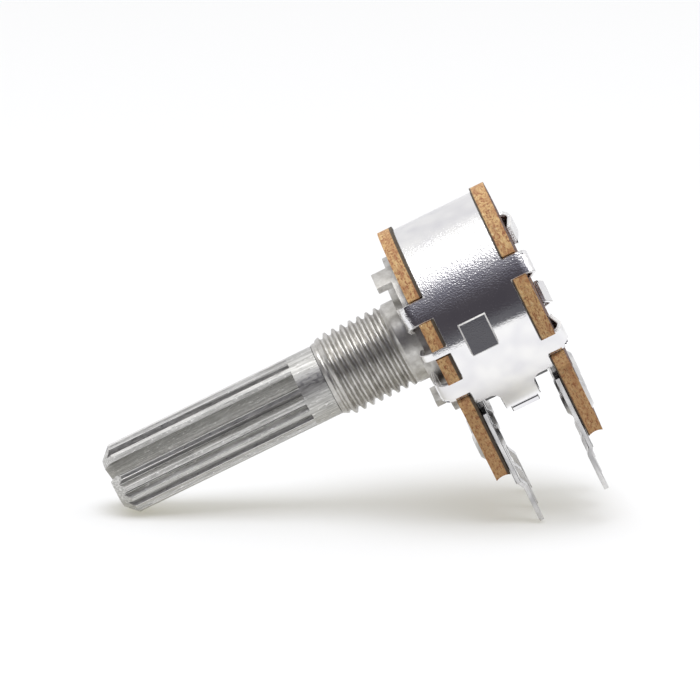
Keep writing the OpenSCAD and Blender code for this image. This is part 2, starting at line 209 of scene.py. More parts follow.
def swing(tree: bpy.types.NodeTree, value: Socket, base: float, at: tuple[float, float],
          shares: tuple[float, float]) -> Socket:
    """Lets a measure rise and fall with a pattern.

    Args:
        tree: The node tree.
        value: The pattern's value.
        base: The measure.
        at: Values of the pattern between which the measure goes from one end to the other.
        shares: Shares of the measure at those two ends.

    Returns:
        The measure as a socket.
    """
    return spread(tree, value, *at, base * shares[0], base * shares[1])


def blend_colour(tree: bpy.types.NodeTree, fac: Socket, a: Any, b: Any) -> Socket:
    """Mixes two colours.

    Args:
        tree: The node tree.
        fac: Share of the second colour.
        a: First colour or its socket.
        b: Second colour or its socket.

    Returns:
        The mixed colour.
    """
    node = add(tree, "ShaderNodeMix", {"Factor": fac}, data_type="RGBA")
    for key, value in ((6, a), (7, b)):  # the sockets of the two colours, which share their names
        if isinstance(value, Socket):
            tree.links.new(value, node.inputs[key])
        else:
            node.inputs[key].default_value = value
    return node.outputs[2]


@dataclass(frozen=True)
class Finish:
    """A surface: what it is made of and how that was worked."""

    name: str

    def surface(self, tree: bpy.types.NodeTree) -> Node:
        """Adds the shader's nodes and returns the one that ends them."""
        raise NotImplementedError

    def material(self) -> bpy.types.Material:
        """Returns this finish's material, made on first use."""
        found = bpy.data.materials.get(self.name)
        if found:
            return found
        made = bpy.data.materials.new(self.name)
        made.use_nodes = True
        made.node_tree.nodes.clear()
        shader = self.surface(made.node_tree)
        add(made.node_tree, "ShaderNodeOutputMaterial", {"Surface": shader.outputs[0]})
        return made


def dress(piece: bpy.types.Object, *finishes: Finish) -> None:
    """Gives a piece its finishes and nothing else.

    Args:
        piece: The piece.
        *finishes: Its finishes, the main one first.
    """
    piece.data.materials.clear()
    for finish in finishes:
        piece.data.materials.append(finish.material())


@dataclass(frozen=True)
class RolledTinplate(Finish):
    """Bright tin-plated steel sheet: nearly a mirror, with sparkling specks where dark meets light."""

    colour: str = "#F3F2F1"
    shade: str = "#E6E5E7"
    roughness: float = 0.07
    grain_mm: tuple[float, float, float] = (0.13, 0.13, 0.15)
    wave_mm: float = 1.9
    grain_height_mm: float = 0.026
    wave_height_mm: float = 0.006
    rubbed_y: tuple[float, float] = (0.3, 3.4)
    rubbed_share: float = 0.22
    # Painted shade of the seam's fold: the heights between which the can is drawn dark, its soft edge and
    # its colour.
    fold_shade_y: tuple[float, float] = (-8.87, -8.75)
    fold_shade_soft_mm: float = 0.03
    fold_painted_shade: str = "#4A494B"
    shade_at: tuple[float, float] = (0.35, 0.7)
    rough_at: tuple[float, float] = (0.3, 0.7)
    rough_shares: tuple[float, float] = (0.6, 1.6)

    def surface(self, tree: bpy.types.NodeTree) -> Node:
        """Metal with a rolling grain over slow waves, rubbed below, and a painted shade in the seam's fold.
        """
        grain = noise(tree, self.grain_mm, detail=2.5, rough=0.6)
        wave = noise(tree, (self.wave_mm,) * 3, detail=1.0)
        place = add(tree, "ShaderNodeTexCoord").outputs["Object"]
        y = add(tree, "ShaderNodeSeparateXYZ", {0: place}).outputs["Y"]
        low, high = self.rubbed_y
        depth = spread(tree, y, low * MM, high * MM, self.rubbed_share, 1.0)
        share = self.grain_height_mm / (self.grain_height_mm + self.wave_height_mm)
        mixed = add(tree, "ShaderNodeMix", {0: share, 2: wave, 3: grain}).outputs[0]
        shaded = spread(tree, wave, *self.shade_at)
        sheet = blend_colour(tree, shaded, linear(self.colour), linear(self.shade))
        # Painted shade: the can turns dark between the fold's two heights, soft at each edge, standing in
        # for the shadow in the seam's gap.
        inner, outer = (spread(tree, y, at * MM, (at + self.fold_shade_soft_mm) * MM) for at in self.fold_shade_y)
        fold = add(tree, "ShaderNodeMath", {0: inner, 1: outer}, operation="SUBTRACT").outputs[0]
        colour = blend_colour(tree, fold, sheet, linear(self.fold_painted_shade))
        rough = swing(tree, grain, self.roughness, self.rough_at, self.rough_shares)
        return add(tree, "ShaderNodeBsdfPrincipled", {
            "Base Color": colour, "Metallic": 1.0, "Roughness": rough,
            "Normal": bumped(tree, mixed, self.grain_height_mm + self.wave_height_mm, depth)})


@dataclass(frozen=True)
class PaleEdgeHighlight(Finish):
    """Cut edge of sheet or rod, torn and duller than the face, coloured nearly white: a painted highlight
    that keeps the edge pale from any side.
    """

    colour: str = "#F4F3F1"
    shade: str = "#D5D3D0"
    metallic: float = 0.35
    roughness: float = 0.6
    grain_mm: float = 0.11
    grain_height_mm: float = 0.006

    def surface(self, tree: bpy.types.NodeTree) -> Node:
        """Matt metal with a torn grain, nearly white as a painted highlight."""
        grain = noise(tree, (self.grain_mm,) * 3, detail=2.0)
        # Painted highlight: the broken corners get a nearly white, half-matt colour, so that they read as a
        # line of light.
        return add(tree, "ShaderNodeBsdfPrincipled", {
            "Base Color": blend_colour(tree, grain, linear(self.colour), linear(self.shade)),
            "Metallic": self.metallic, "Roughness": self.roughness,
            "Normal": bumped(tree, grain, self.grain_height_mm)})


@dataclass(frozen=True)
class CastZinc(Finish):
    """Die-cast zinc, left plain: a dull warm grey with the faint mottle of the mould."""

    colour: str = "#D6D4D0"
    shade: str = "#ADAAA5"
    roughness: float = 0.38
    mottle_mm: float = 0.7
    grain_mm: float = 0.12
    grain_height_mm: float = 0.006
    shade_at: tuple[float, float] = (0.3, 0.75)
    rough_at: tuple[float, float] = (0.3, 0.7)
    rough_shares: tuple[float, float] = (0.85, 1.2)

    def surface(self, tree: bpy.types.NodeTree) -> Node:
        """Dull metal with a mottled colour and a cast grain."""
        mottle = noise(tree, (self.mottle_mm,) * 3, detail=3.0, rough=0.6)
        grain = noise(tree, (self.grain_mm,) * 3, detail=2.0)
        shaded = spread(tree, mottle, *self.shade_at)
        colour = blend_colour(tree, shaded, linear(self.colour), linear(self.shade))
        rough = swing(tree, mottle, self.roughness, self.rough_at, self.rough_shares)
        return add(tree, "ShaderNodeBsdfPrincipled", {
            "Base Color": colour, "Metallic": 1.0, "Roughness": rough,
            "Normal": bumped(tree, grain, self.grain_height_mm)})


@dataclass(frozen=True)
class DrawnAluminium(Finish):
    """Aluminium rod, drawn and knurled: satin grey, fine crisp scores along it and small bright specks."""

    colour: str = "#D6D5D2"
    shade: str = "#B0AFAC"
    score: str = "#6C6B69"
    bright: str = "#FAFAF8"
    roughness: float = 0.43
    streak_mm: tuple[float, float, float] = (0.16, 0.16, 3.0)
    score_mm: tuple[float, float, float] = (0.10, 0.10, 1.1)
    speck_mm: tuple[float, float, float] = (0.15, 0.15, 0.30)
    streak_height_mm: float = 0.010
    speck_share: float = 0.45
    shade_at: tuple[float, float] = (0.38, 0.62)
    score_at: tuple[float, float] = (0.60, 0.68)
    score_depth: float = 0.65
    bright_at: tuple[float, float] = (0.62, 0.70)
    bright_depth: float = 0.7
    rough_at: tuple[float, float] = (0.4, 0.7)
    rough_shares: tuple[float, float] = (1.15, 0.6)

    def surface(self, tree: bpy.types.NodeTree) -> Node:
        """Satin metal with streaks and scores that run along Z."""
        streak = noise(tree, self.streak_mm, detail=3.0, rough=0.6)
        score = noise(tree, self.score_mm, detail=3.0, rough=0.6)
        speck = noise(tree, self.speck_mm, detail=2.0, rough=0.6)
        height = add(tree, "ShaderNodeMix", {0: self.speck_share, 2: streak, 3: speck}).outputs[0]
        shaded = spread(tree, streak, *self.shade_at)
        base = blend_colour(tree, shaded, linear(self.colour), linear(self.shade))
        dark = spread(tree, score, *self.score_at, 0.0, self.score_depth)
        scored = blend_colour(tree, dark, base, linear(self.score))
        light = spread(tree, speck, *self.bright_at, 0.0, self.bright_depth)
        colour = blend_colour(tree, light, scored, linear(self.bright))
        rough = swing(tree, speck, self.roughness, self.rough_at, self.rough_shares)
        return add(tree, "ShaderNodeBsdfPrincipled", {
            "Base Color": colour, "Metallic": 1.0, "Roughness": rough,
            "Normal": bumped(tree, height, self.streak_height_mm)})


@dataclass(frozen=True)
class TinnedSheet(Finish):
    """Hot-tinned brass strip: a soft silver shine, a little uneven where the tin flowed."""

    colour: str = "#DCDBDA"
    shade: str = "#BDBCBC"
    roughness: float = 0.27
    flow_mm: tuple[float, float, float] = (0.6, 1.6, 0.6)
    flow_height_mm: float = 0.012
    shade_at: tuple[float, float] = (0.35, 0.7)
    rough_at: tuple[float, float] = (0.3, 0.7)
    rough_shares: tuple[float, float] = (0.8, 1.3)

    def surface(self, tree: bpy.types.NodeTree) -> Node:
        """Bright metal with slow waves."""
        flow = noise(tree, self.flow_mm, detail=2.0)
        shaded = spread(tree, flow, *self.shade_at)
        colour = blend_colour(tree, shaded, linear(self.colour), linear(self.shade))
        rough = swing(tree, flow, self.roughness, self.rough_at, self.rough_shares)
        return add(tree, "ShaderNodeBsdfPrincipled", {
            "Base Color": colour, "Metallic": 1.0, "Roughness": rough,
            "Normal": bumped(tree, flow, self.flow_height_mm)})


@dataclass(frozen=True)
class PhenolicPaper(Finish):
    """Phenolic paper board, punched: a dark brown face and a dull, fibrous edge of tan and rust."""

    inner_z: float = 0.0
    band_mm: float = 0.12
    tan: str = "#D2AC76"
    rust: str = "#A46C46"
    rusty_y: tuple[float, float] = (-9.0, 3.0)
    rusty_share: float = 0.34
    bark: str = "#8F5C38"
    pale: str = "#F0DCB0"
    face: str = "#54301F"
    burnt: str = "#3A2318"
    dark_band: str = "#34342F"
    fibre_mm: tuple[float, float, float] = (0.26, 0.34, 0.16)
    blotch_mm: tuple[float, float, float] = (1.2, 1.7, 0.5)
    pit_mm: float = 0.14
    fibre_height_mm: float = 0.04
    band_soft_mm: float = 0.08
    dark_band_cover: float = 0.9
    blotch_at: tuple[float, float] = (0.42, 0.62)
    blotch_share: float = 0.6
    pit_at: tuple[float, float] = (0.60, 0.70)
    pit_share: float = 0.6
    face_at: tuple[float, float] = (0.6, 0.9)
    roughness: float = 0.62
    ior: float = 1.55
    specular: float = 0.3

    def surface(self, tree: bpy.types.NodeTree) -> Node:
        """Fibres on what faces sideways, a plain face elsewhere, and a dark band along the inner face."""
        fibre = noise(tree, self.fibre_mm, detail=4.0, rough=0.7)
        blotch = noise(tree, self.blotch_mm, detail=2.0)
        pit = noise(tree, (self.pit_mm,) * 3, detail=3.0, rough=0.6)
        layers = ramp(tree, fibre, (
            (0.32, self.bark), (0.42, self.rust), (0.49, self.tan), (0.59, self.tan),
            (0.70, self.pale)))
        place = add(tree, "ShaderNodeTexCoord").outputs["Object"]
        axes = add(tree, "ShaderNodeSeparateXYZ", {0: place}).outputs
        low, high = self.rusty_y
        below = spread(tree, axes["Y"], low * MM, high * MM, self.rusty_share, 0.0)
        patchy = spread(tree, blotch, *self.blotch_at, 0.0, self.blotch_share)
        share = add(tree, "ShaderNodeMath", {0: below, 1: patchy}, operation="MAXIMUM").outputs[0]
        rusty = blend_colour(tree, share, layers, linear(self.rust))
        pits = spread(tree, pit, *self.pit_at, 0.0, self.pit_share)
        pitted = blend_colour(tree, pits, rusty, linear(self.burnt))
        normal = add(tree, "ShaderNodeNewGeometry").outputs["Normal"]
        axial = add(tree, "ShaderNodeSeparateXYZ", {0: normal}).outputs["Z"]
        flat = add(tree, "ShaderNodeMath", {0: axial}, operation="ABSOLUTE").outputs[0]
        on_face = spread(tree, flat, *self.face_at)
        sides = blend_colour(tree, on_face, pitted, linear(self.face))
        # The board turns dark within band_mm of its inner face, on the edge as well as on the face.
        off = add(tree, "ShaderNodeMath", {
            0: axes["Z"], 1: self.inner_z * MM}, operation="SUBTRACT").outputs[0]
        depth = add(tree, "ShaderNodeMath", {0: off}, operation="ABSOLUTE").outputs[0]
        band, past = self.band_mm * MM, (self.band_mm + self.band_soft_mm) * MM
        dark_band_share = spread(tree, depth, band, past, self.dark_band_cover, 0.0)
        return add(tree, "ShaderNodeBsdfPrincipled", {
            "Base Color": blend_colour(tree, dark_band_share, sides, linear(self.dark_band)),
            "Roughness": self.roughness, "IOR": self.ior, "Specular IOR Level": self.specular,
            "Normal": bumped(tree, fibre, self.fibre_height_mm)})


@dataclass(frozen=True)
class MouldedPlastic(Finish):
    """Glass-filled nylon, moulded: matt black with a faint flow mottle."""

    colour: str = "#1C1C1E"
    shade: str = "#2B2B2D"
    mottle_mm: float = 0.5
    mottle_height_mm: float = 0.004
    roughness: float = 0.48
    ior: float = 1.53

    def surface(self, tree: bpy.types.NodeTree) -> Node:
        """Matt plastic."""
        mottle = noise(tree, (self.mottle_mm,) * 3, detail=3.0)
        return add(tree, "ShaderNodeBsdfPrincipled", {
            "Base Color": blend_colour(tree, mottle, linear(self.colour), linear(self.shade)),
            "Roughness": self.roughness, "IOR": self.ior,
            "Normal": bumped(tree, mottle, self.mottle_height_mm)})


@dataclass(frozen=True)
class PrintedLayer(Finish):
    """Screen-printed ink, fired: carbon is a soft black, silver a dull white, and both keep a mesh grain."""

    colour: str = "#1A1A1A"
    shade: str = "#2A2A2A"
    metallic: float = 0.0
    roughness: float = 0.55
    mesh_mm: float = 0.12
    mesh_height_mm: float = 0.003

    def surface(self, tree: bpy.types.NodeTree) -> Node:
        """Flat ink with a fine grain."""
        grain = noise(tree, (self.mesh_mm,) * 3, detail=2.0)
        return add(tree, "ShaderNodeBsdfPrincipled", {
            "Base Color": blend_colour(tree, grain, linear(self.colour), linear(self.shade)),
            "Metallic": self.metallic, "Roughness": self.roughness,
            "Normal": bumped(tree, grain, self.mesh_height_mm)})


class Arris(Enum):
    """How the corners of a piece are broken.

    Each value holds the width in millimetres, whether corners nearby hold it back, and the height in
    millimetres from which only corners along Z are broken, or None for all corners.
    """

    SHEARED = (0.06, False, None)
    PUNCHED = (0.05, False, None)
    KNURLED = (0.05, False, BUSH_MOUTH_Z)
    SAWN = (0.03, True, None)


def cad_copy(node: str, name: str) -> bpy.types.Object:
    """Copies a CAD node's mesh to a new object, with its split corners joined and its curves refined.

    Args:
        node: The CAD node.
        name: The new object's name.

    Returns:
        The new object, linked to the scene.
    """
    mesh = frame["nodes"][node].data.copy()
    mesh.name = name
    piece = bpy.data.objects.new(name, mesh)
    bpy.context.scene.collection.objects.link(piece)
    form = bmesh.new()
    form.from_mesh(mesh)
    bmesh.ops.remove_doubles(form, verts=form.verts, dist=SPLIT_CORNER)
    for i in range(FACETS_ROUND // 2):
        slice_round(form, 2 * math.pi * (i + 0.5) / FACETS_ROUND)
    form.to_mesh(mesh)
    form.free()
    if mesh.has_custom_normals:
        mesh.attributes.remove(mesh.attributes["custom_normal"])
    return piece


def slice_round(form: bmesh.types.BMesh, angle: float) -> None:
    """Slices a form by a plane through Z and moves the new points of round walls out to their true radius.

    Args:
        form: The form, changed in place.
        angle: Angle of the plane from +X, in radians.
    """
    across = Vector((-math.sin(angle), math.cos(angle), 0.0))
    old = set(form.verts)
    everything = form.verts[:] + form.edges[:] + form.faces[:]
    bmesh.ops.bisect_plane(form, geom=everything, dist=ON_PLANE, plane_co=(0, 0, 0), plane_no=across)
    for vert in form.verts:
        if vert in old:
            continue
        ends = [edge.other_vert(vert) for edge in vert.link_edges]
        ends = [end for end in ends if abs(end.co.dot(across)) > OFF_PLANE]
        radii = [math.hypot(end.co.x, end.co.y) for end in ends]
        own = math.hypot(vert.co.x, vert.co.y)
        level = len(ends) == 2 and abs(radii[0] - radii[1]) < SAME_RADIUS
        if level and 0 < radii[0] - own < LARGEST_SAG * MM:
            vert.co.x *= radii[0] / own
            vert.co.y *= radii[0] / own


def mark_corners(mesh: bpy.types.Mesh, degrees: float, teeth_from: float | None,
                 straight: float = 0.99) -> None:
    """Marks the sharp edges of a mesh for a bevel.

    Args:
        mesh: The mesh.
        degrees: The angle between two faces from which their edge counts as sharp.
        teeth_from: Height in millimetres from which only edges along Z are marked, or None for all edges.
        straight: Share of an edge's length that has to be along Z for that.
    """
    form = bmesh.new()
    form.from_mesh(mesh)
    weight = form.edges.layers.float.new("bevel_weight_edge")
    for edge in form.edges:
        sharp = len(edge.link_faces) == 2 and edge.calc_face_angle() > math.radians(degrees)
        if sharp and teeth_from is not None:
            low, high = sorted(vert.co.z for vert in edge.verts)
            sharp = low > teeth_from * MM and high - low > straight * edge.calc_length()
        edge[weight] = float(sharp)
    form.to_mesh(mesh)
    form.free()


def break_corners(piece: bpy.types.Object, arris: Arris) -> None:
    """Bevels the sharp corners of a piece, so that they catch a line of light, and smooths the rest.

    Args:
        piece: The piece, changed in place. Its last material goes on the broken corners.
        arris: How its corners are broken.
    """
    width, held_back, teeth_from = arris.value
    shade_by_angle(piece.data, SMOOTH_BELOW_DEG)
    mark_corners(piece.data, BREAK_ABOVE_DEG, teeth_from)
    bevel = piece.modifiers.new("arris", "BEVEL")
    bevel.width = width * MM
    bevel.segments = 2
    bevel.limit_method = "WEIGHT"
    bevel.use_clamp_overlap = held_back
    bevel.material = len(piece.data.materials) - 1
    evened = piece.modifiers.new("evened", "WEIGHTED_NORMAL")
    evened.keep_sharp = True
    shaped = bpy.data.meshes.new_from_object(piece.evaluated_get(bpy.context.evaluated_depsgraph_get()))
    piece.modifiers.clear()
    piece.data = shaped
    true_round_walls(shaped)


def true_round_walls(mesh: bpy.types.Mesh) -> None:
    """Points the shading of walls that are round about Z straight out, so that they reflect without bands.

    Args:
        mesh: The mesh.
    """
    normals = [Vector(corner.vector) for corner in mesh.corner_normals]
    for face in mesh.polygons:
        spots = [mesh.vertices[i].co for i in face.vertices]
        radii = [math.hypot(spot.x, spot.y) for spot in spots]
        if min(radii) < EVEN_RADIUS * MM or max(radii) - min(radii) > EVEN_RADIUS * MM:
            continue
        outward = [Vector((spot.x, spot.y, 0.0)).normalized() for spot in spots]
        turned = [out.dot(face.normal) for out in outward]
        if min(abs(t) for t in turned) > ROUND_WALL_COS:
            for corner, out, t in zip(face.loop_indices, outward, turned):
                normals[corner] = math.copysign(1.0, t) * out
    mesh.normals_split_custom_set(normals)


def shade_by_angle(mesh: bpy.types.Mesh, degrees: float) -> None:
    """Shades a mesh smooth, apart from the edges that are sharper than an angle.

    Args:
        mesh: The mesh.
        degrees: The angle between two faces from which their edge stays sharp.
    """
    form = bmesh.new()
    form.from_mesh(mesh)
    for face in form.faces:
        face.smooth = True
    for edge in form.edges:
        flat = len(edge.link_faces) == 2 and edge.calc_face_angle() < math.radians(degrees)
        edge.smooth = flat
    form.to_mesh(mesh)
    form.free()


@dataclass
class Casting:
    """The zinc casting of bush, boss and flange, with its fine thread."""

    finish: Finish
    node: str = "bush"
    body: str = "housing"
    thread_r: float = 3.5
    thread_depth: float = 0.40
    pitch: float = 0.75
    mouth_z: float = 7.6
    mouth_bevel: tuple[float, float] = (1.0, 0.45)
    run_out_z: tuple[float, float] = (0.9, 1.6)
    crest_flat: float = 0.14
    steps_round: int = 96
    steps_a_pitch: int = 14
    slack: float = 0.01
    smooth_below_deg: float = 38.0

    def radius(self, turn: float, z: float) -> float:
        """Radius of the thread.

        Args:
            turn: Place round the bush, in whole turns.
            z: Place along the bush, in millimetres.

        Returns:
            The radius in millimetres.
        """
        phase = (z / self.pitch - turn) % 1.0
        ridge = abs(2 * phase - 1)
        ridge = min(1.0, max(0.0, (ridge - self.crest_flat) / (1 - 2 * self.crest_flat)))
        cut = self.thread_depth * (1 - (3 * ridge**2 - 2 * ridge**3))
        start, full = self.run_out_z
        cut *= min(1.0, max(0.0, (z - start) / (full - start)))
        bevel_len, bevel_depth = self.mouth_bevel
        mouth = self.thread_r - bevel_depth * max(0.0, (z - self.mouth_z + bevel_len) / bevel_len)
        return min(self.thread_r - cut, mouth)

    def build(self) -> bpy.types.Object:
        """Copies the casting and puts its helical thread in place of the CAD model's rings.

        Returns:
            The threaded casting.
        """
        piece = cad_copy(self.node, "threaded_bush")
        dress(piece, self.finish)
        form = bmesh.new()
        form.from_mesh(piece.data)
        bmesh.ops.triangulate(form, faces=form.faces)
        low_r = (self.thread_r - self.mouth_bevel[1] - self.slack) * MM
        high_r = (self.thread_r + self.slack) * MM
        ringed = [f for f in form.faces if all(
            low_r < math.hypot(v.co.x, v.co.y) < high_r and v.co.z > -self.slack * MM for v in f.verts)]
        bmesh.ops.delete(form, geom=ringed, context="FACES")
        rows = round(self.mouth_z / self.pitch * self.steps_a_pitch)
        grid = [[form.verts.new(self.point(j / self.steps_round, self.mouth_z * i / rows))
                 for j in range(self.steps_round)] for i in range(rows + 1)]
        for low, high in zip(grid, grid[1:]):
            for j in range(self.steps_round):
                k = (j + 1) % self.steps_round
                form.faces.new((low[j], low[k], high[k], high[j]))
        bmesh.ops.remove_doubles(form, verts=form.verts, dist=THREAD_WELD)
        self.close_rings(form)
        bmesh.ops.recalc_face_normals(form, faces=form.faces)
        form.to_mesh(piece.data)
        form.free()
        shade_by_angle(piece.data, self.smooth_below_deg)
        true_round_walls(piece.data)
        return piece

    def point(self, turn: float, z: float) -> Vector:
        """Returns a point of the thread's surface, in metres."""
        r = self.radius(turn, z) * MM
        return Vector((r * math.cos(2 * math.pi * turn), r * math.sin(2 * math.pi * turn), z * MM))

    def close_rings(self, form: bmesh.types.BMesh) -> None:
        """Joins the thread's ends to the rims that the CAD model's wall left open.

        Args:
            form: The casting, changed in place.
        """
        for z in (0.0, self.mouth_z):
            open_edges = [e for e in form.edges if e.is_boundary and all(
                abs(v.co.z - z * MM) < AT_RIM for v in e.verts)]
            if open_edges:
                bmesh.ops.bridge_loops(form, edges=open_edges)


@dataclass
class Potentiometer:
    """All the pieces, each with its finish."""

    tinplate: Finish = field(default_factory=lambda: RolledTinplate("tinplate_rolled"))
    zinc: Finish = field(default_factory=lambda: CastZinc("zinc_die_cast"))
    aluminium: Finish = field(default_factory=lambda: DrawnAluminium("aluminium_drawn"))
    tinned: Finish = field(default_factory=lambda: TinnedSheet("brass_tinned"))
    # The broken corners of the can and the shaft take a pale finish, a painted highlight along their edges.
    can_edge_highlight: Finish = field(default_factory=lambda: PaleEdgeHighlight("tinplate_edge_highlight"))
    shaft_edge_highlight: Finish = field(default_factory=lambda: PaleEdgeHighlight(
        "aluminium_edge_highlight", "#FCFCFA", "#E2E1DE", metallic=0.5, roughness=0.5))
    plastic: Finish = field(default_factory=lambda: MouldedPlastic("nylon_moulded"))
    carbon: Finish = field(default_factory=lambda: PrintedLayer("carbon_printed"))
    silver: Finish = field(default_factory=lambda: PrintedLayer(
        "silver_printed", "#C9C8C4", "#B5B4B0", metallic=1.0, roughness=0.42))
    bronze: Finish = field(default_factory=lambda: TinnedSheet(
        "bronze_rolled", "#C79A5B", "#B08447", roughness=0.3))
    steel: Finish = field(default_factory=lambda: TinnedSheet(
        "steel_plated", "#BDBDBB", "#A5A5A3", roughness=0.35))
    # Width of the dark band along each board's inner face, in millimetres.
    front_dark_band_mm: float = 0.20
    rear_dark_band_mm: float = 0.08

    def build(self) -> None:
        """Builds and dresses every piece."""
        casting = Casting(self.zinc)
        self.place(casting.build(), casting.node, casting.body)
        self.soften("can", Arris.SHEARED, self.tinplate, self.can_edge_highlight)
        self.soften("shaft", Arris.KNURLED, self.aluminium, self.shaft_edge_highlight)
        for gang in ("front", "rear"):
            self.gang(gang)
        self.keep("stop_washer", self.steel)

    def gang(self, gang: str) -> None:
        """Dresses one board with what it carries, and its rotor.

        Args:
            gang: front or rear.
        """
        low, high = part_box(f"{gang}_board")
        inner, dark_band = (low.z, self.front_dark_band_mm) if gang == "front" else (high.z, self.rear_dark_band_mm)
        board = PhenolicPaper(f"phenolic_paper_{gang}", inner_z=inner / MM, band_mm=dark_band)
        self.soften(f"{gang}_board", Arris.SAWN, board)
        for i in (1, 2, 3):
            self.soften(f"{gang}_terminal_{i}", Arris.PUNCHED, self.tinned)
        self.keep(f"{gang}_rivets", self.tinned)
        self.keep(f"{gang}_track", self.carbon)
        self.keep(f"{gang}_conductors", self.silver)
        self.keep(f"{gang}_rotor", self.plastic)
        self.keep(f"{gang}_wiper", self.bronze)

    def body_of(self, node: str) -> str:
        """Returns the name of the body that holds a node."""
        bodies: dict[str, list[str]] = frame["record"]["behaviour"]["bodies"]
        return next(body for body, nodes in bodies.items() if node in nodes)

    def keep(self, node: str, finish: Finish) -> None:
        """Gives a CAD node its finish and leaves its form alone.

        Args:
            node: The CAD node.
            finish: Its finish.
        """
        dress(frame["nodes"][node], finish)
        LOG.info("%s: %s", node, finish.name)

    def soften(self, node: str, arris: Arris, *finishes: Finish) -> None:
        """Stands a copy with broken corners in for a CAD node.

        Args:
            node: The CAD node.
            arris: How its corners are broken.
            *finishes: Its finish, and that of its broken corners where they differ.
        """
        piece = cad_copy(node, f"{node}_piece")
        dress(piece, *finishes)
        break_corners(piece, arris)
        self.place(piece, node, self.body_of(node))

    def place(self, piece: bpy.types.Object, node: str, body: str) -> None:
        """Puts a new piece on its body and hides the node that it stands for.

        Args:
            piece: The new piece.
            node: The CAD node that it replaces.
            body: The body that it moves with.
        """
        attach(piece, body)
        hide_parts(node)
        LOG.info("%s for %s: %d faces", piece.name, node, len(piece.data.polygons))


@dataclass(frozen=True)
class Softbox:
    """A square lamp that faces the object, with its place by the table's own directions."""

    name: str
    up: float
    along: float
    across: float
    side: float
    watts: float


